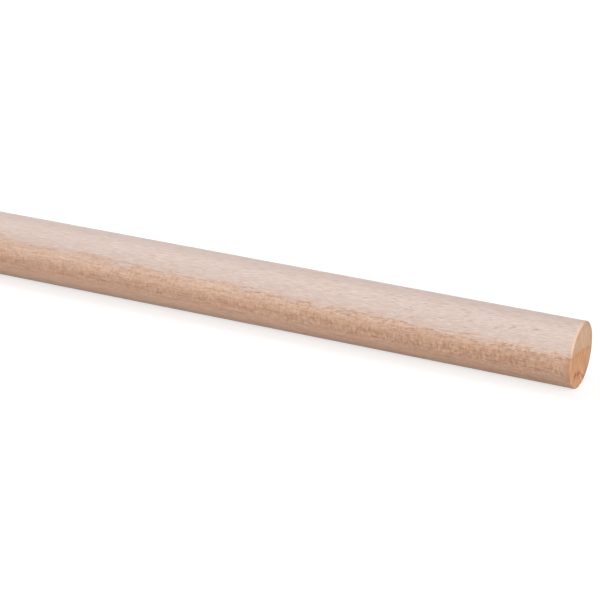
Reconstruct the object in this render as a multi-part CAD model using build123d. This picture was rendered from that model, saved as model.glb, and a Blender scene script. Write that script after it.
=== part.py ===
"""A plain beech dowel rod: one length of machined round stock, sawn square at both ends.

The rod lies along X with its middle at the origin, and +Z is up.
"""
from build123d import *
import os

# Driving sizes, in millimetres
DIAMETER = 20.0       # finished diameter of the round
LENGTH = 300.0        # from one sawn end to the other
EASED_EDGE = 0.4      # radius sanded on the edge of each sawn end

ALONG_X = (0, 90, 0)  # turns a cylinder made along Z to lie along X


def dowel_rod():
    """The round stock, with the sharp edge of both sawn ends sanded off."""
    stock = Cylinder(radius=DIAMETER / 2, height=LENGTH, rotation=ALONG_X)
    end_edges = stock.edges().filter_by(GeomType.CIRCLE)
    rod = fillet(end_edges, radius=EASED_EDGE)
    rod.label = "dowel_rod"
    return rod


os.makedirs("parts", exist_ok=True)
export_step(dowel_rod(), "parts/dowel_rod.step")
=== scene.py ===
"""A round beech dowel rod, dressed as solid wood, and a small white studio to show it in.

The rod is one closed surface of revolution. Its wood is a solid pattern, read at each point of the
surface from where that point lay in the tree, so that rings, rays and fibres run through from the
round side to the sawn ends.
"""
import math
from types import SimpleNamespace

import bpy
import numpy as np
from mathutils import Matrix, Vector


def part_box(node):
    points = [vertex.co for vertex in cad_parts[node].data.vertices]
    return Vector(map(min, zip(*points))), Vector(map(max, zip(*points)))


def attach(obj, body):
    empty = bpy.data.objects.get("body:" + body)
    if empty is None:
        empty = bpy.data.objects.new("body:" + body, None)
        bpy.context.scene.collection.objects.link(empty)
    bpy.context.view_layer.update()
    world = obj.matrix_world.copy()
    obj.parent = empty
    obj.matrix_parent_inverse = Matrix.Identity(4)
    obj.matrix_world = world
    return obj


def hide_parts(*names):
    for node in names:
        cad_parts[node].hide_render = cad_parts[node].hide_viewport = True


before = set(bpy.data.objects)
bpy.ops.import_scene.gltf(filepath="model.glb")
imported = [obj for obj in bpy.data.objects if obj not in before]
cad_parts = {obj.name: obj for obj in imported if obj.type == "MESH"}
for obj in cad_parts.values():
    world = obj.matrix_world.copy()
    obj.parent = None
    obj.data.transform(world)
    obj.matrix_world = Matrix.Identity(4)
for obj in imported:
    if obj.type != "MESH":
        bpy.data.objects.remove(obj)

bl_info = {
    "name": "Beech Dowel Rod",
    "version": (1, 0, 0),
    "blender": (4, 5, 0),
    "location": "3D View > Sidebar > Dowel Rod",
    "description": "Builds a round beech dowel rod with rings, rays and sawn ends, and a white studio",
    "category": "Add Mesh",
}

MM = 0.001
NODE = "dowel_rod"
ROD_LOW, ROD_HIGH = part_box(NODE)
ROD_LENGTH = ROD_HIGH.x - ROD_LOW.x
ROD_DIAMETER = ROD_HIGH.z - ROD_LOW.z

END_GRAIN = "end_grain"    # 0 on the round side, 1 on a sawn end, rising across the eased edge
BAKE_MAP = "OFBake"        # the flat layout of the skin
MARGIN = 1.6 * MM          # between the parts of that layout

# The grid of the skin: points round the rod, rings on a face as shares of its radius, and steps over
# an eased edge and from there to the middle of the rod.
AROUND = 144
FACE_RINGS = (0.0, 0.18, 0.38, 0.58, 0.76, 0.9, 1.0)
EDGE_STEPS = 8
SIDE_STEPS = 90

# The patterns of the wood: the size of a lump in millimetres along the grain, round the ring and
# outwards, then how many finer layers lie on it and how strong each is.
PATTERNS = {
    "fibre": ((3.6, 0.22, 0.22), 1.0, 0.5),
    "knit": ((0.85, 0.34, 1.7), 1.0, 0.5),
    "streak": ((24.0, 0.7, 0.7), 2.0, 0.55),
    "patch": ((13.0, 3.0, 3.0), 1.0, 0.5),
    "jag": ((9.0, 0.8, 0.8), 2.0, 0.6),
    "short": ((2.2, 0.26, 0.5), 1.0, 0.5),
    "lines": ((60.0, 0.3, 6.0), 3.0, 0.5),
    "blotch": ((60.0, 1.3, 3.5), 1.0, 0.5),
    "crumb": ((60.0, 0.45, 0.6), 2.0, 0.6),
    "rub": ((2.0, 1.6, 1.6), 1.0, 0.5),
}

# Each bend in the grain: how fast it changes per millimetre along, across and up, and its reach.
BENDS = (((0.014, 0.05, 0.05), 1.2), ((0.12, 0.5, 0.5), 0.3))

# How strongly a change of tone acts on red, green and blue.
TONE_ON_RGB = (0.62, 1.0, 1.2)

# The ring edge, in millimetres: how far its raggedness can swing it, and how far the dark line along
# it drifts inwards for each millimetre toward the near end.
EDGE_STRAY = 6.0
LINE_DRIFT = 0.008

# Rays, in millimetres: the cell that holds a broad one, and a small one's cell, height and width.
BROAD_CELL = (4.6, 1.2, 5.0)
SMALL_CELL = (2.4, 0.7, 3.0)
SMALL_HEIGHT = 1.9
SMALL_WIDTH = 0.24

# Marks on the near end, in millimetres. Each torn spot has its middle (y, z) and half its width and
# height. The saw's strokes beside them have their middle (y, z) and the angle they are turned by, and
# one stroke's size and the reach of them all, each along the strokes and across them.
TORN_SPOTS = (((-4.9, -4.5), (0.85, 0.75)), ((-2.3, -5.1), (0.8, 0.7)))
STROKES_MIDDLE = (0.4, -7.0)
STROKES_TURN = math.radians(41)
STROKE_SIZE = (4.5, 0.42)
STROKES_REACH = (4.2, 2.6)

# Each lamp: its width and height, where it stands and where it points, in metres.
LAMPS = {
    "key": ((0.5, 0.8), (-0.25, 0.1, 0.75), (0.0, 0.0, 0.0)),
    "front": ((1.1, 1.0), (0.5, -1.0, 0.5), (0.0, 0.0, 0.0)),
    "side": ((1.9, 1.9), (2.25, -0.6, 0.92), (0.05, 0.0, 0.0)),
    "back": ((2.6, 0.45), (-1.6, 1.2, 0.24), (0.0, 0.0, 0.0)),
}
HIDDEN_IN_REFLECTIONS = ("back",)
SENSOR_WIDTH = 36.0        # in millimetres

# The floor: its side, its own grey and that in reflections, how brightly it glows to the camera by the
# rod and far away, how far from the rod the one passes into the other, and its glow in reflections.
FLOOR_SIZE = 12.0
FLOOR_GREY = 0.48
FLOOR_GREY_REFLECTED = 0.9
FLOOR_GLOW = (0.66, 1.0)
FLOOR_GLOW_AT = (0.35, 1.2)
FLOOR_GLOW_REFLECTED = 0.12


# ---------------------------------------------------------------- settings

def colour(name, text, value):
    """A colour setting with no alpha, in linear light."""
    return bpy.props.FloatVectorProperty(
        name=name, description=text, default=value, subtype="COLOR", size=3, min=0.0, max=1.0
    )


def metres(name, text, value):
    """A length setting."""
    return bpy.props.FloatProperty(name=name, description=text, default=value, min=0.0, unit="LENGTH")


def angle(name, text, degrees):
    """An angle setting, given in degrees and kept in radians."""
    return bpy.props.FloatProperty(
        name=name, description=text, default=math.radians(degrees), unit="ROTATION"
    )


def factor(name, text, value, most=1.0):
    """A plain share or strength."""
    return bpy.props.FloatProperty(name=name, description=text, default=value, min=0.0, max=most)


class DowelRodShape(bpy.types.PropertyGroup):
    """Sizes of the rod's surface."""

    diameter: metres("Diameter", "Finished diameter of the round", ROD_DIAMETER)
    length: metres("Length", "From one sawn end to the other", ROD_LENGTH)
    eased_edge: metres("Eased edge", "Radius sanded on the edge of each sawn end", 0.4 * MM)
    edge_wander: factor("Edge wander", "How much the sanded radius varies round the end", 0.35)
    out_of_round: metres("Out of round", "How far the machined side dips under its full size", 0.03 * MM)


class DowelRodWood(bpy.types.PropertyGroup):
    """How the stock was cut from the tree, and the colours of its wood."""

    pith_depth: metres("Pith depth", "How far below the rod's axis the tree's centre lay", 50 * MM)
    roll: angle("Roll", "How far the bark side leans from straight up to the rod's back", 12.0)
    run_out: angle("Run-out", "Angle between the rod's axis and the rings, seen from the side", 0.5)
    slope: angle("Slope of grain", "Angle of the fibres to the axis, seen from the bark side", 4.0)
    bend_seed: factor("Bend seed", "Picks how the grain happens to wander", 23.7, 100.0)
    ring_edge: metres("Ring edge", "How far above the axis the pale outer ring starts", 3.85 * MM)
    ray_height: metres("Ray height", "Length of a broad ray along the grain", 3.4 * MM)
    ray_width: metres("Ray width", "Thickness of a broad ray", 0.34 * MM)
    pale: colour("Pale wood", "The outer ring", (0.667, 0.524, 0.46))
    tan: colour("Tan wood", "Wood just inside the outer ring", (0.705, 0.467, 0.342))
    # Brown: darker wood. On the side it also carries painted shade, in a band just below mid height that
    # runs level along the rod.
    brown: colour("Brown wood", "The darkest growth, near the rod's mid height", (0.60, 0.358, 0.24))
    dark: colour("Dark wood", "What the inner wood deepens to toward the near end", (0.55, 0.325, 0.212))
    russet: colour("Russet streaks", "Long streaks in the inner wood", (0.63, 0.31, 0.20))
    ray: colour("Rays", "Rays and pores of the inner wood", (0.46, 0.265, 0.175))
    pale_ray: colour("Pale rays", "Rays and pores of the outer ring", (0.39, 0.285, 0.225))
    sawn: colour("Sawn end", "What a sawn end's wood colour is multiplied by", (0.935, 0.73, 0.535))
    torn: colour("Torn grain", "Torn spots and the ring edge on a sawn end", (0.335, 0.11, 0.04))
    # Pale edge: worn, paler fibres along the eased edge, with a painted highlight at the front, where it
    # faces the lamps.
    rubbed_highlight: colour("Rubbed edge", "Fibres rubbed pale along the eased edge", (0.80, 0.57, 0.44))
    # Rim shade: painted shade on the back of the sawn edges, where they face away from the lamps.
    rim_shade: colour("Grime", "Dirt rubbed into the back of the sawn edges", (0.22, 0.16, 0.13))
    roughness: factor("Roughness", "Roughness of the sanded side", 0.5)


class StudioSettings(bpy.types.PropertyGroup):
    """The camera and lamps."""

    azimuth: angle("Azimuth", "Where the camera stands round the rod; 0 looks along +Y", 25.25)
    elevation: angle("Elevation", "The camera's height above the level", 24.2)
    distance: metres("Distance", "From the camera to the point it looks at", 632.4 * MM)
    aim: metres("Aim", "How far in from the near end the camera looks", 89.5 * MM)
    aim_height: metres("Aim height", "How far above the rod's axis the camera looks", 0.19 * MM)
    lens: bpy.props.FloatProperty(name="Lens", description="Focal length", default=124.7, unit="CAMERA")
    key: factor("Key", "Brightness of the lamp above", 2.22, 100.0)
    front: factor("Front", "Brightness of the large lamp in front", 2.38, 100.0)
    side: factor("Side", "Brightness of the lamp off the near end", 3.0, 100.0)
    back: factor("Back", "Brightness of the low lamp behind, off the far end", 4.0, 100.0)
    sky: factor("Sky", "Brightness of the light from all round", 0.19, 10.0)


# ---------------------------------------------------------------- the rod's surface

def profile(half_length, radius, edge):
    """Half the rod's outline, from the middle of an end face to the middle of the side.

    x and r run out along the face, then round the eased edge as a quarter circle whose centre lies
    one edge radius in from both face and side, then along the side. Each array has one row for each
    point of the outline and one column for each angle round the rod, because edge varies with it.
    Also returns how far each row is end grain, from 1 on the face to 0 on the side.
    """
    face = np.array(FACE_RINGS)[:, None]
    turn = np.linspace(0.0, math.pi / 2, EDGE_STEPS + 1)[1:, None]
    side = np.linspace(0.0, 1.0, SIDE_STEPS + 1)[1:, None]
    start = half_length - edge
    x = np.vstack([
        np.full((len(face), len(edge)), half_length),
        start + edge * np.cos(turn),
        start * (1.0 - side),
    ])
    r = np.vstack([
        face * (radius - edge),
        radius - edge + edge * np.sin(turn),
        np.full((len(side), len(edge)), radius),
    ])
    falling = np.linspace(1.0, 0.0, EDGE_STEPS + 1)[1:]
    grain = np.concatenate([np.ones(len(face)), falling, np.zeros(len(side))])
    return x, r, grain


def wandering_edge(shape, turn, phase):
    """An eased edge whose radius varies with the angle in three waves: 2, 5 and 11 to a turn."""
    wander = 0.5 * np.cos(2 * turn + phase)
    wander += 0.3 * np.cos(5 * turn + 3 * phase)
    wander += 0.2 * np.cos(11 * turn + phase)
    return shape.eased_edge * (1.0 + shape.edge_wander * wander)


def rod_skin(shape):
    """The whole skin as a grid: outline point by angle, with each end face closed at its middle.

    A point of the outline (x, r) turned by the angle a lies at (x, -r sin a, -r cos a), so the seam
    runs along the rod's underside. The machined side dips a little under its full size in long, slow
    waves: 2 and 3 to a turn, twisting along the rod.
    """
    a = np.linspace(0.0, 2.0 * math.pi, AROUND, endpoint=False)
    half_length, radius = shape.length / 2, shape.diameter / 2
    near_x, near_r, near_grain = profile(half_length, radius, wandering_edge(shape, a, 0.4))
    far_x, far_r, far_grain = profile(half_length, radius, wandering_edge(shape, a, 2.9))
    x = np.vstack([near_x, -far_x[-2::-1]])
    r = np.vstack([near_r, far_r[-2::-1]])
    grain = np.concatenate([near_grain, far_grain[-2::-1]])
    on_side = (grain == 0.0)[:, None]
    slow = 0.5 + 0.25 * np.cos(2 * a + x * 21.0) + 0.25 * np.cos(3 * a - x * 47.0 + 1.3)
    r = r - on_side * shape.out_of_round * slow
    points = np.stack([x, -r * np.sin(a), -r * np.cos(a)], axis=-1)
    return points, grain


def unwrapped(points, diameter):
    """The skin laid flat in a square: two long strips of side, one above the other, then both end faces.

    The strips part at the middle of the rod and along the underside. Along a strip, u is the distance
    over the surface; across it, v is the angle's share of the rod's girth. On an end face u and v are y
    and z as seen from outside, to the same scale. Returns (u, v) for each band between two rows, each
    of its rims and each column.
    """
    rows = len(points)
    middle = (rows - 1) // 2
    face_bands = len(FACE_RINGS) - 1
    last = rows - 1 - face_bands
    girth = math.pi * diameter
    closed = np.concatenate([points, points[:, :1]], axis=1)
    step = np.linalg.norm(np.diff(points, axis=0), axis=-1).mean(axis=1)
    reach = np.concatenate([[0.0], np.cumsum(step)])

    band = np.arange(rows - 1)[:, None, None]
    row = band + np.arange(2)[None, :, None]
    column = np.arange(AROUND + 1)[None, None, :]
    near = band < middle
    strip_u = MARGIN + np.where(near, reach[middle], reach[last]) - reach[row]
    strip_v = MARGIN + girth * column / AROUND + np.where(near, 0.0, girth + MARGIN)
    y, z = closed[row, column, 1], closed[row, column, 2]
    disc_u = np.where(near, MARGIN + diameter / 2 + y, 2 * MARGIN + diameter * 1.5 - y)
    disc_v = 3 * MARGIN + 2 * girth + diameter / 2 + z

    on_disc = (band < face_bands) | (band >= last)
    side = 2 * MARGIN + max(reach[middle] - reach[face_bands], 2 * girth + 2 * MARGIN + diameter)
    u = np.where(on_disc, disc_u, strip_u)
    v = np.where(on_disc, disc_v, strip_v)
    return np.stack([u, v], axis=-1) / side


def face_corners(laid_flat):
    """The (u, v) of every face corner, in the order in which grid_faces gives the corners."""
    here, after = laid_flat[:, :, :-1], laid_flat[:, :, 1:]
    quads = np.stack([here[1:-1, 0], after[1:-1, 0], after[1:-1, 1], here[1:-1, 1]], axis=2)
    first_ring = np.stack([here[0, 0], after[0, 1], here[0, 1]], axis=1)
    last_ring = np.stack([here[-1, 1], here[-1, 0], after[-1, 0]], axis=1)
    return np.concatenate([part.reshape(-1, 2) for part in (first_ring, quads, last_ring)])


def grid_faces(rows, around):
    """Faces of a grid closed round its columns, whose first and last rows are single points."""
    row = np.arange(rows - 3)[:, None] * around + 1
    here = np.arange(around)[None, :]
    after = (here + 1) % around
    quads = np.stack([row + here, row + after, row + around + after, row + around + here], axis=-1)
    last = (rows - 2) * around + 1
    end = last - around
    first_ring = np.stack([np.zeros(around, int), after[0] + 1, here[0] + 1], axis=-1)
    last_ring = np.stack([np.full(around, last), end + here[0], end + after[0]], axis=-1)
    return [*first_ring.tolist(), *quads.reshape(-1, 4).tolist(), *last_ring.tolist()]


def make_rod(shape):
    """Puts the skin into a mesh, with the END_GRAIN attribute and the BAKE_MAP layout."""
    points, grain = rod_skin(shape)
    corners = np.vstack([points[0, :1], points[1:-1].reshape(-1, 3), points[-1, :1]])
    end_share = np.concatenate([grain[:1], np.repeat(grain[1:-1], AROUND), grain[-1:]])
    faces = grid_faces(len(points), AROUND)
    layout = face_corners(unwrapped(points, shape.diameter))
    mesh = bpy.data.meshes.new("beech_rod")
    mesh.from_pydata(corners.tolist(), [], faces)
    mesh.polygons.foreach_set("use_smooth", np.ones(len(faces), bool))
    end_grain = mesh.attributes.new(END_GRAIN, "FLOAT", "POINT")
    end_grain.data.foreach_set("value", end_share.astype(np.float32))
    bake_map = mesh.uv_layers.new(name=BAKE_MAP)
    bake_map.data.foreach_set("uv", layout.astype(np.float32).ravel())
    mesh.update()
    rod = bpy.data.objects.new("beech_rod", mesh)
    bpy.context.scene.collection.objects.link(rod)
    return rod


# ---------------------------------------------------------------- shader helpers

def put(tree, kind, inputs=None, **settings):
    """Adds a shader node with its settings, and sets or links its inputs by name or number."""
    node = tree.nodes.new("ShaderNode" + kind)
    for name, value in settings.items():
        setattr(node, name, value)
    for name, value in (inputs or {}).items():
        if isinstance(value, bpy.types.NodeSocket):
            tree.links.new(value, node.inputs[name])
        else:
            node.inputs[name].default_value = value
    return node


def maths(tree, operation, *values):
    """The result of a Math node on those values or sockets."""
    return put(tree, "Math", dict(enumerate(values)), operation=operation).outputs[0]


def product(tree, first, *others):
    """All the values multiplied together."""
    for value in others:
        first = maths(tree, "MULTIPLY", first, value)
    return first


def total(tree, first, *others):
    """All the values added together."""
    for value in others:
        first = maths(tree, "ADD", first, value)
    return first


def scaled(tree, value, scale, offset):
    """The value times scale, plus offset."""
    return maths(tree, "MULTIPLY_ADD", value, scale, offset)


def less(tree, value, share=1.0):
    """What is left of 1 when that share of the value is taken away."""
    return maths(tree, "MULTIPLY_ADD", value, -share, 1.0)


def about_zero(tree, pattern, strength):
    """A pattern from 0 to 1, moved to lie about 0 and multiplied by strength."""
    return maths(tree, "MULTIPLY", maths(tree, "SUBTRACT", pattern, 0.5), strength)


def vector(tree, operation, *values):
    """The vector result of a Vector Math node on those vectors or sockets."""
    return put(tree, "VectorMath", dict(enumerate(values)), operation=operation).outputs[0]


def in_mm(tree, place):
    """A place in metres, in millimetres."""
    return vector(tree, "MULTIPLY", place, (1 / MM, 1 / MM, 1 / MM))


def vector_length(tree, value):
    """The length of a vector."""
    return put(tree, "VectorMath", {0: value}, operation="LENGTH").outputs["Value"]


def turned_about(tree, value, axis, turn, centre=(0.0, 0.0, 0.0)):
    """A vector turned by an angle about an axis through the centre."""
    inputs = {"Vector": value, "Center": centre, "Axis": axis, "Angle": turn}
    return put(tree, "VectorRotate", inputs).outputs[0]


def split(tree, value):
    """The three parts of a vector."""
    return put(tree, "SeparateXYZ", {0: value}).outputs


def ramp(tree, value, low, high, smooth=True):
    """0 at low, 1 at high, and eased or straight in between. low may be above high."""
    kind = "SMOOTHSTEP" if smooth else "LINEAR"
    inputs = {"Value": value, "From Min": low, "From Max": high}
    return put(tree, "MapRange", inputs, interpolation_type=kind).outputs["Result"]


def mix(tree, share, first, second, blend="MIX"):
    """The first colour blended with the second by share."""
    node = put(tree, "Mix", data_type="RGBA", blend_type=blend)
    sockets = (node.inputs[0], node.inputs[6], node.inputs[7])
    for socket, value in zip(sockets, (share, first, second)):
        if isinstance(value, bpy.types.NodeSocket):
            tree.links.new(value, socket)
        else:
            socket.default_value = value if socket.type == "VALUE" else (*value, 1.0)
    return node.outputs[2]


def noise(tree, place, detail, rough):
    """Noise from 0 to 1 at a place given in the size of its own lumps."""
    inputs = {"Vector": place, "Scale": 1.0, "Detail": detail, "Roughness": rough}
    return put(tree, "TexNoise", inputs).outputs["Fac"]


def new_group(name, inputs, outputs):
    """An empty shader group with those sockets, given as name and kind."""
    group = bpy.data.node_groups.new(name, "ShaderNodeTree")
    for in_out, sockets in (("INPUT", inputs), ("OUTPUT", outputs)):
        for socket, kind in sockets.items():
            group.interface.new_socket(socket, in_out=in_out, socket_type="NodeSocket" + kind)
    return group, group.nodes.new("NodeGroupInput").outputs, group.nodes.new("NodeGroupOutput").inputs


def use(tree, group, inputs):
    """Places a group in a tree and returns its outputs."""
    return put(tree, "Group", inputs, node_tree=group).outputs


def new_material(name):
    """An empty material and its tree."""
    material = bpy.data.materials.new(name)
    material.use_nodes = True
    material.node_tree.nodes.clear()
    return material, material.node_tree


# ---------------------------------------------------------------- where the wood grew

def tree_place_group(wood):
    """Where a point of the rod lay in the tree, in millimetres.

    The rod's coordinates are turned by the roll and the run-out, bent a little by slow noise, and
    then read round the pith. Grown has x along the grain, y the arc round the ring that passes through
    the rod's axis, and z the distance outwards from that ring. The fibres wind round the tree by the
    slope, so y is taken from where each fibre started. Level is z without the run-out. Flank is 0 in
    the middle of the rod and 1 at its two flanks, where the surface runs along the rays instead of
    cutting across them.
    """
    outputs = {"Grown": "Vector", "Level": "Float", "Flank": "Float"}
    group, given, out = new_group("Place in the tree", {"Place": "Vector"}, outputs)
    turned = turned_about(group, in_mm(group, given["Place"]), (1, 0, 0), wood.roll)
    turned = turned_about(group, turned, (0, 1, 0), -wood.run_out)
    bent = turned
    for quickness, reach in BENDS:
        spot = vector(group, "MULTIPLY", turned, quickness)
        spot = vector(group, "ADD", spot, (wood.bend_seed, 0.0, 0.0))
        wave = put(group, "TexNoise", {"Vector": spot, "Scale": 1.0}).outputs["Color"]
        bend = vector(group, "SUBTRACT", wave, (0.5, 0.5, 0.5))
        bent = vector(group, "ADD", bent, vector(group, "MULTIPLY", bend, (0.0, reach, reach)))
    along, side, up = split(group, bent)

    pith = wood.pith_depth / MM
    from_pith = maths(group, "ADD", up, pith)
    distance = vector_length(group, put(group, "CombineXYZ", {0: side, 1: from_pith}).outputs[0])
    arc = maths(group, "MULTIPLY", maths(group, "ARCTAN2", side, from_pith), pith)
    arc = scaled(group, along, -math.tan(wood.slope), arc)
    depth = maths(group, "SUBTRACT", distance, pith)
    level = scaled(group, along, -math.tan(wood.run_out), depth)
    flank = maths(group, "DIVIDE", maths(group, "ABSOLUTE", side), ROD_DIAMETER / 2 / MM)
    group.links.new(put(group, "CombineXYZ", {0: along, 1: arc, 2: depth}).outputs[0], out["Grown"])
    group.links.new(level, out["Level"])
    group.links.new(flank, out["Flank"])
    return group


def ray_group():
    """Rays: thin upright lenses of harder tissue that run outwards from the pith.

    Space is cut into cells, each of Cell's size on average, with one lens in each. The lens is where
    1 - |across| / half width - (along / half height)^2 - (outwards / half reach)^2 is above 0, and Ray
    eases from 0 to 1 as that rises to a half. A lens is 0.44 to 1 times as high and wide as Height and
    Width say, and reaches through 1.2 times its cell. Tone is each lens's own number from 0 to 1.
    """
    sockets = {"Grown": "Vector", "Cell": "Vector", "Height": "Float", "Width": "Float"}
    group, given, out = new_group("Rays", sockets, {"Ray": "Float", "Tone": "Float"})
    place = vector(group, "DIVIDE", given["Grown"], given["Cell"])
    cells = put(group, "TexVoronoi", {"Vector": place, "Scale": 1.0, "Randomness": 1.0}).outputs
    offset = vector(group, "SUBTRACT", place, cells["Position"])
    along, across, outwards = split(group, vector(group, "MULTIPLY", offset, given["Cell"]))
    reach = split(group, given["Cell"])[2]
    pick, _, tone = put(group, "SeparateColor", {0: cells["Color"]}).outputs
    size = ramp(group, pick, -0.8, 1.0, smooth=False)
    half_height = product(group, given["Height"], 0.5, size)
    half_width = product(group, given["Width"], 0.5, size)
    half_reach = maths(group, "MULTIPLY", reach, 0.6)
    lens = less(group, maths(group, "DIVIDE", maths(group, "ABSOLUTE", across), half_width))
    for part, half in ((along, half_height), (outwards, half_reach)):
        share = maths(group, "DIVIDE", part, half)
        lens = maths(group, "SUBTRACT", lens, maths(group, "MULTIPLY", share, share))
    group.links.new(ramp(group, lens, 0.0, 0.5), out["Ray"])
    group.links.new(tone, out["Tone"])
    return group


def wood_at_point(tree, wood):
    """What every part of the wood's colour reads: where a point lies on the rod and in the tree.

    Lengths are in millimetres, apart from here, which is in metres as the rod is. On the rod there are
    y and z, and the distance from the nearer end and from the axis; in the tree along, depth and level.
    Each pattern of PATTERNS comes by its own name, from 0 to 1. Edge is the depth of the ring edge.
    Line is depth as the dark line there follows it: ragged, and drifting toward the near end.
    """
    here = put(tree, "TexCoord").outputs["Object"]
    place = use(tree, tree_place_group(wood), {"Place": here})
    grown = place["Grown"]
    at = SimpleNamespace(here=here, level=place["Level"], flank=place["Flank"])
    at.along, _, at.depth = split(tree, grown)
    at.on_end = put(tree, "Attribute", attribute_name=END_GRAIN).outputs["Fac"]
    for name, (size, detail, rough) in PATTERNS.items():
        setattr(at, name, noise(tree, vector(tree, "DIVIDE", grown, size), detail, rough))
    rays = ray_group()
    height, width = wood.ray_height / MM, wood.ray_width / MM
    broad = {"Grown": grown, "Cell": BROAD_CELL, "Height": height, "Width": width}
    small = {"Grown": grown, "Cell": SMALL_CELL, "Height": SMALL_HEIGHT, "Width": SMALL_WIDTH}
    at.broad_ray = use(tree, rays, broad)
    at.small_ray = use(tree, rays, small)

    x, at.y, at.z = split(tree, in_mm(tree, here))
    at.from_end = maths(tree, "SUBTRACT", ROD_LENGTH / 2 / MM, maths(tree, "ABSOLUTE", x))
    at.from_axis = vector_length(tree, put(tree, "CombineXYZ", {0: at.y, 1: at.z}).outputs[0])

    # Shares from 0 to 1 that more than one part of the colour reads.
    at.toward_near = ramp(tree, at.along, 0.0, ROD_LENGTH / 2 / MM)
    at.toward_far = ramp(tree, at.along, 100.0, -20.0)
    at.below_middle = ramp(tree, at.level, 0.5, -1.5)
    at.along_rays = ramp(tree, at.flank, 0.82, 0.97)

    # The pale outer ring, whose edge is ragged, and the inner wood.
    at.edge = wood.ring_edge / MM
    ragged = maths(tree, "ADD", at.depth, about_zero(tree, at.jag, EDGE_STRAY))
    at.outer = ramp(tree, ragged, at.edge - 1.7, at.edge + 1.9)
    at.inner = less(tree, at.outer)
    at.line = scaled(tree, at.along, LINE_DRIFT, ragged)
    return at


# ---------------------------------------------------------------- the wood of the round side

def shaded(tree, wood_colour, tone):
    """A wood colour under a tone about 0: dark wood is redder, light wood greyer."""
    change = put(tree, "VectorMath", {0: TONE_ON_RGB, "Scale": tone}, operation="SCALE").outputs[0]
    return mix(tree, 1.0, wood_colour, vector(tree, "ADD", change, (1.0, 1.0, 1.0)), "MULTIPLY")


def ring_colour(tree, wood, at):
    """Wood by how far out it grew: tan, pale outside, darker to the near end, brown partly as painted
    shade at mid height.
    """
    # Partly painted shade: the brown band follows the height on the rod, not the rings.
    brown = product(tree, ramp(tree, at.level, 0.6, -1.4), ramp(tree, at.level, -6.5, -2.0), 0.8)
    deeper = product(tree, at.toward_near, ramp(tree, at.level, 3.0, 0.0), 0.6)
    wood_colour = mix(tree, brown, wood.tan, wood.brown)
    wood_colour = mix(tree, deeper, wood_colour, wood.dark)
    return mix(tree, at.outer, wood_colour, wood.pale)


def ring_edge_dashes(tree, at):
    """The ring edge itself: short dark dashes, stronger toward the near end."""
    off_line = maths(tree, "ABSOLUTE", maths(tree, "SUBTRACT", at.line, at.edge + 0.25))
    dash = product(tree, ramp(tree, off_line, 0.6, 0.1), ramp(tree, at.short, 0.6, 0.42))
    stronger = scaled(tree, ramp(tree, at.along, -40.0, 70.0), 0.48, 0.288)
    return product(tree, dash, stronger)


def russet_streaks(tree, at):
    """Long streaks, only in the inner wood, and stronger toward the far end."""
    streaks = product(tree, ramp(tree, at.streak, 0.48, 0.66), ramp(tree, at.level, 2.4, -1.0))
    return product(tree, streaks, scaled(tree, at.toward_far, 0.3, 0.36))


def flecks(tree, at):
    """Rays seen lengthwise, dark and light, as much as they show at each place.

    They show in the inner wood, more so in patches of its flanks and low toward the near end, and
    less at the very bottom and toward the far end.
    """
    on_flank = product(tree, at.inner, at.along_rays, ramp(tree, at.patch, 0.35, 0.65))
    shown = scaled(tree, on_flank, 0.4, product(tree, at.inner, 0.48))
    shown = scaled(tree, product(tree, at.toward_near, at.below_middle), 0.31, shown)
    calmer = product(tree, ramp(tree, at.level, -2.0, -5.0), 0.45)
    calmer = scaled(tree, at.toward_far, 0.08, calmer)
    shown = product(tree, shown, less(tree, calmer))

    dark = scaled(tree, ramp(tree, at.knit, 0.52, 0.3), -0.1, 0.022)
    even = about_zero(tree, at.knit, 0.7)
    light = product(tree, ramp(tree, at.knit, 0.5, 0.75), at.below_middle)
    light = scaled(tree, light, 0.16, -0.024)
    return product(tree, total(tree, dark, even, light), shown)


def side_tone(tree, at):
    """How much lighter or darker than its colour the side is: fibres, flecks and long streaks."""
    fibres = about_zero(tree, at.fibre, scaled(tree, at.inner, 0.16, 0.62))
    low = scaled(tree, ramp(tree, at.level, 0.0, -4.0), 0.36, 0.15)
    inside = product(tree, at.inner, scaled(tree, at.toward_far, 0.42, 0.24))
    streaks = about_zero(tree, at.streak, total(tree, low, inside))
    livelier = scaled(tree, ramp(tree, at.along, -100.0, 150.0, smooth=False), 0.4, 0.76)
    return product(tree, total(tree, fibres, flecks(tree, at), streaks), livelier)


def ray_share(tree, at):
    """How strongly rays show: where the side cuts across them, in patches, and toward the near end.

    They are weaker along the middle of the top and of the underside, and low in the inner wood.
    """
    cut_across = less(tree, at.along_rays, 0.7)
    patches = ramp(tree, at.patch, 0.2, 0.7)
    nearer = scaled(tree, at.toward_near, 0.8, 0.36)
    off_middle = scaled(tree, ramp(tree, at.flank, 0.35, 0.75), 0.4, 0.6)
    not_low = less(tree, ramp(tree, at.level, 0.5, -3.0), 0.5)
    return product(tree, cut_across, patches, nearer, off_middle, not_low)


def side_colour(tree, wood, at):
    """The sanded side: rings, ring edge, streaks, fine tone and, over them all, the rays."""
    wood_colour = ring_colour(tree, wood, at)
    wood_colour = mix(tree, ring_edge_dashes(tree, at), wood_colour, wood.ray)
    wood_colour = mix(tree, russet_streaks(tree, at), wood_colour, wood.russet)
    wood_colour = shaded(tree, wood_colour, side_tone(tree, at))
    shown = ray_share(tree, at)
    ray_colour = mix(tree, at.outer, wood.ray, wood.pale_ray)
    for ray, strength in ((at.broad_ray, 1.2), (at.small_ray, 1.15)):
        share = product(tree, ray["Ray"], ray["Tone"], strength, shown)
        wood_colour = mix(tree, share, wood_colour, ray_colour)
    return wood_colour


# ---------------------------------------------------------------- the sawn ends

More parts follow.
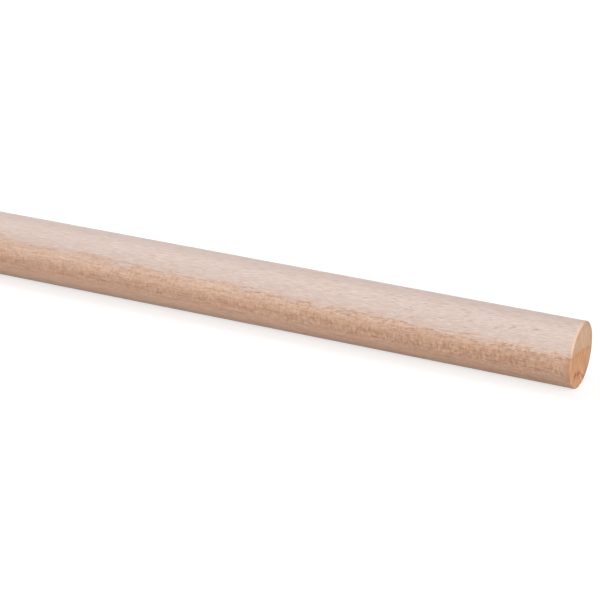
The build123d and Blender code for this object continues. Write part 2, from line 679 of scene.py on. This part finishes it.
def torn_spots(tree, at):
    """Small ragged spots low at the front of the near end, where the saw tore the fibres."""
    ragged = about_zero(tree, at.crumb, 3.5)
    torn = 0.0
    for (y, z), (half_width, half_height) in TORN_SPOTS:
        spot = vector(tree, "SUBTRACT", at.here, (ROD_HIGH.x, y * MM, z * MM))
        spot = vector(tree, "DIVIDE", spot, (1.0 * MM, half_width * MM, half_height * MM))
        spot = maths(tree, "ADD", vector_length(tree, spot), ragged)
        torn = maths(tree, "MAXIMUM", torn, ramp(tree, spot, 1.8, 0.6))
    return torn


def saw_strokes(tree, at):
    """A few slanting strokes of the saw beside the torn spots, as a tone about 0."""
    middle = (ROD_HIGH.x, STROKES_MIDDLE[0] * MM, STROKES_MIDDLE[1] * MM)
    turned = turned_about(tree, at.here, (1, 0, 0), STROKES_TURN, middle)
    turned = vector(tree, "SUBTRACT", turned, middle)
    away = vector(tree, "DIVIDE", turned, (1.0 * MM, STROKES_REACH[0] * MM, STROKES_REACH[1] * MM))
    stroke = vector(tree, "DIVIDE", turned, (1.0, STROKE_SIZE[0] * MM, STROKE_SIZE[1] * MM))
    stroke = noise(tree, stroke, 1.0, 0.5)
    return about_zero(tree, stroke, ramp(tree, vector_length(tree, away), 1.1, 0.4))


def sawn_colour(tree, wood, at, torn, stroke):
    """A sawn end: deeper in tone, with rays as fine radial lines and the ring edge as a darker line.

    The ring edge is less ragged here than along the side.
    """
    smooth_line = scaled(tree, at.along, LINE_DRIFT, at.depth)
    even = scaled(tree, smooth_line, 0.7, product(tree, at.line, 0.3))
    off_line = maths(tree, "ABSOLUTE", maths(tree, "SUBTRACT", even, at.edge + 0.1))
    outer = ramp(tree, even, at.edge - 0.7, at.edge + 0.9)
    sawn = mix(tree, outer, mix(tree, 0.4, wood.tan, wood.brown), wood.pale)
    sawn = mix(tree, 1.0, sawn, wood.sawn, "MULTIPLY")
    sawn = mix(tree, product(tree, ramp(tree, off_line, 0.7, 0.1), 0.2), sawn, wood.torn)
    tone = total(tree, about_zero(tree, at.lines, 0.9), about_zero(tree, at.blotch, 0.7))
    sawn = shaded(tree, sawn, scaled(tree, stroke, 3.4, tone))
    return mix(tree, product(tree, torn, 0.9), sawn, wood.torn)


def with_sawn_ends(tree, wood, at, wood_colour, sawn):
    """The side's colour with the sawn ends, and the arris between them.

    The arris is worn pale on the outer wood, with a painted highlight at the front, and broken back a
    little on the inner wood. At the back it has painted shade, more so low down. Corner is about 0 on
    the arris and grows away from it, in millimetres.
    """
    corner = total(tree, at.from_end, maths(tree, "SUBTRACT", ROD_DIAMETER / 2 / MM, at.from_axis))
    corner = total(tree, corner, about_zero(tree, at.rub, 1.6))
    front = less(tree, ramp(tree, at.y, 1.0, 7.0))
    broken = product(tree, ramp(tree, corner, 1.6, 0.7), front, at.inner, 0.75)
    wood_colour = mix(tree, maths(tree, "MAXIMUM", at.on_end, broken), wood_colour, sawn)
    # Painted highlight along the front of the arris, over the paler worn fibres of the outer wood.
    rubbed_highlight = product(tree, ramp(tree, corner, 0.9, 0.4), front, at.outer, 0.6)
    wood_colour = mix(tree, rubbed_highlight, wood_colour, wood.rubbed_highlight)
    # Painted shade round the back of the rim: dark, and wider and stronger low down.
    wide = scaled(tree, ramp(tree, at.z, 3.0, -5.0), 0.22, 0.06)
    wide = product(tree, ramp(tree, corner, 3.2, 0.6), wide)
    rim_shade = scaled(tree, ramp(tree, corner, 0.9, 0.2), 0.45, wide)
    return mix(tree, product(tree, rim_shade, ramp(tree, at.y, -1.0, 3.0)), wood_colour, wood.rim_shade)


def surface_relief(tree, at, torn, stroke):
    """The normal: raised fibres and sunk rays on the side; lines, strokes and torn spots on the ends."""
    side = scaled(tree, at.broad_ray["Ray"], -0.4, product(tree, at.fibre, 0.6))
    cut = scaled(tree, stroke, 0.5, product(tree, at.lines, 0.8))
    cut = maths(tree, "SUBTRACT", cut, torn)
    height = put(tree, "Mix", {0: at.on_end, 2: side, 3: cut}).outputs[0]
    return put(tree, "Bump", {"Height": height, "Strength": 0.35, "Distance": 0.03 * MM}).outputs[0]


def beech_material(wood):
    """Raw sanded beech: pale to brown wood with its rays, fibres and streaks, and sawn ends."""
    material, tree = new_material("Raw beech")
    at = wood_at_point(tree, wood)
    torn = torn_spots(tree, at)
    stroke = saw_strokes(tree, at)
    sawn = sawn_colour(tree, wood, at, torn, stroke)
    wood_colour = with_sawn_ends(tree, wood, at, side_colour(tree, wood, at), sawn)
    shader = put(tree, "BsdfPrincipled", {
        "Base Color": wood_colour,
        "Roughness": scaled(tree, at.on_end, 0.3, wood.roughness),
        "Normal": surface_relief(tree, at, torn, stroke),
        "IOR": 1.5,
    })
    put(tree, "OutputMaterial", {"Surface": shader.outputs[0]})
    return material


# ---------------------------------------------------------------- studio

def floor_material():
    """A matt floor that the camera and reflections see as white, and that nothing sees from below.

    The floor's own grey keeps the light that it throws up at the rod low, and is paler in reflections.
    It glows besides, to the camera and in reflections alone. The camera sees it glow more away from
    the rod, so that it runs into the white all round.
    """
    material, tree = new_material("White floor")
    path = put(tree, "LightPath").outputs
    greys = {0: path["Is Glossy Ray"], 2: FLOOR_GREY, 3: FLOOR_GREY_REFLECTED}
    grey = put(tree, "Mix", greys).outputs[0]
    matt = put(tree, "BsdfDiffuse", {"Color": grey}).outputs[0]
    away = vector_length(tree, put(tree, "TexCoord").outputs["Object"])
    by_rod, far_off = FLOOR_GLOW
    seen = scaled(tree, ramp(tree, away, *FLOOR_GLOW_AT), far_off - by_rod, by_rod)
    seen = product(tree, path["Is Camera Ray"], seen)
    glow = scaled(tree, path["Is Glossy Ray"], FLOOR_GLOW_REFLECTED, seen)
    white = put(tree, "Emission", {"Color": (1, 1, 1, 1), "Strength": glow}).outputs[0]
    shader = put(tree, "AddShader", {0: matt, 1: white}).outputs[0]
    clear = put(tree, "BsdfTransparent").outputs[0]
    below = put(tree, "NewGeometry").outputs["Backfacing"]
    shader = put(tree, "MixShader", {0: below, 1: shader, 2: clear}).outputs[0]
    put(tree, "OutputMaterial", {"Surface": shader})
    return material


def add_floor(level, size):
    """A square floor at that level, under the rod's middle."""
    mesh = bpy.data.meshes.new("studio_floor")
    corners = np.array([[-1, -1], [1, -1], [1, 1], [-1, 1]]) * size / 2
    mesh.from_pydata([(x, y, level) for x, y in corners.tolist()], [], [(0, 1, 2, 3)])
    mesh.materials.append(floor_material())
    floor = bpy.data.objects.new("studio_floor", mesh)
    bpy.context.scene.collection.objects.link(floor)


def add_softbox(name, radiance, size, place, target):
    """A rectangular lamp at a place, facing a target. Its radiance is the same for any size."""
    light = bpy.data.lights.new(name, "AREA")
    light.shape = "RECTANGLE"
    light.size, light.size_y = size
    light.energy = radiance * math.pi * size[0] * size[1]
    lamp = bpy.data.objects.new(name, light)
    lamp.location = place
    lamp.rotation_mode = "QUATERNION"
    lamp.rotation_quaternion = (Vector(target) - Vector(place)).to_track_quat("-Z", "Y")
    lamp.visible_glossy = name not in HIDDEN_IN_REFLECTIONS
    bpy.context.scene.collection.objects.link(lamp)


def set_sky(strength):
    """Even light from all round, which the camera and reflections see as white."""
    world = bpy.data.worlds.new("Studio")
    world.use_nodes = True
    tree = world.node_tree
    tree.nodes.clear()
    path = put(tree, "LightPath").outputs
    seen = maths(tree, "MAXIMUM", path["Is Camera Ray"], path["Is Glossy Ray"])
    seen = maths(tree, "MAXIMUM", seen, path["Is Transmission Ray"])
    level = put(tree, "Mix", {0: seen, 2: strength, 3: 1.0}).outputs[0]
    sky = put(tree, "Background", {"Color": (1, 1, 1, 1), "Strength": level}).outputs[0]
    put(tree, "OutputWorld", {"Surface": sky})
    bpy.context.scene.world = world


def add_camera(studio, near_end):
    """The camera, standing off at its distance and looking at a point a little above the rod's axis."""
    data = bpy.data.cameras.new("camera")
    data.sensor_width = SENSOR_WIDTH
    data.lens = studio.lens
    camera = bpy.data.objects.new("camera", data)
    a, e = studio.azimuth, studio.elevation
    back = Vector((math.sin(a) * math.cos(e), -math.cos(a) * math.cos(e), math.sin(e)))
    camera.location = Vector((near_end - studio.aim, 0.0, studio.aim_height)) + back * studio.distance
    camera.rotation_mode = "QUATERNION"
    camera.rotation_quaternion = (-back).to_track_quat("-Z", "Y")
    bpy.context.scene.collection.objects.link(camera)
    bpy.context.scene.camera = camera


# ---------------------------------------------------------------- operators and panel

class DOWEL_OT_build_rod(bpy.types.Operator):
    """Builds the beech rod in place of the plain solid"""

    bl_idname = "dowel.build_rod"
    bl_label = "Build Beech Rod"

    def execute(self, context):
        rod = make_rod(context.scene.dowel_shape)
        rod.data.materials.append(beech_material(context.scene.dowel_wood))
        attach(rod, "root")
        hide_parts(NODE)
        return {"FINISHED"}


class DOWEL_OT_set_studio(bpy.types.Operator):
    """Adds the floor, lamps, surrounding light and camera"""

    bl_idname = "dowel.set_studio"
    bl_label = "Set Up Studio"

    def execute(self, context):
        studio = context.scene.dowel_studio
        add_floor(ROD_LOW.z, FLOOR_SIZE)
        for name, (size, place, target) in LAMPS.items():
            add_softbox(name, getattr(studio, name), size, place, target)
        set_sky(studio.sky)
        add_camera(studio, ROD_HIGH.x)
        context.scene.view_settings.view_transform = "Standard"
        return {"FINISHED"}


class DOWEL_PT_panel(bpy.types.Panel):
    """Lists the rod's settings and its two steps"""

    bl_idname = "DOWEL_PT_panel"
    bl_label = "Dowel Rod"
    bl_space_type = "VIEW_3D"
    bl_region_type = "UI"
    bl_category = "Dowel Rod"

    def draw(self, context):
        groups = (context.scene.dowel_shape, context.scene.dowel_wood, context.scene.dowel_studio)
        for group in groups:
            column = self.layout.column(align=True)
            for name in group.__annotations__:
                column.prop(group, name)
        self.layout.operator(DOWEL_OT_build_rod.bl_idname)
        self.layout.operator(DOWEL_OT_set_studio.bl_idname)


CLASSES = (
    DowelRodShape,
    DowelRodWood,
    StudioSettings,
    DOWEL_OT_build_rod,
    DOWEL_OT_set_studio,
    DOWEL_PT_panel,
)


def register():
    for cls in CLASSES:
        bpy.utils.register_class(cls)
    bpy.types.Scene.dowel_shape = bpy.props.PointerProperty(type=DowelRodShape)
    bpy.types.Scene.dowel_wood = bpy.props.PointerProperty(type=DowelRodWood)
    bpy.types.Scene.dowel_studio = bpy.props.PointerProperty(type=StudioSettings)


def unregister():
    del bpy.types.Scene.dowel_studio
    del bpy.types.Scene.dowel_wood
    del bpy.types.Scene.dowel_shape
    for cls in reversed(CLASSES):
        bpy.utils.unregister_class(cls)


def main():
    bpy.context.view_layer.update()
    register()
    bpy.ops.dowel.build_rod()
    bpy.ops.dowel.set_studio()
    bpy.context.view_layer.update()


if __name__ == "__main__":
    main()
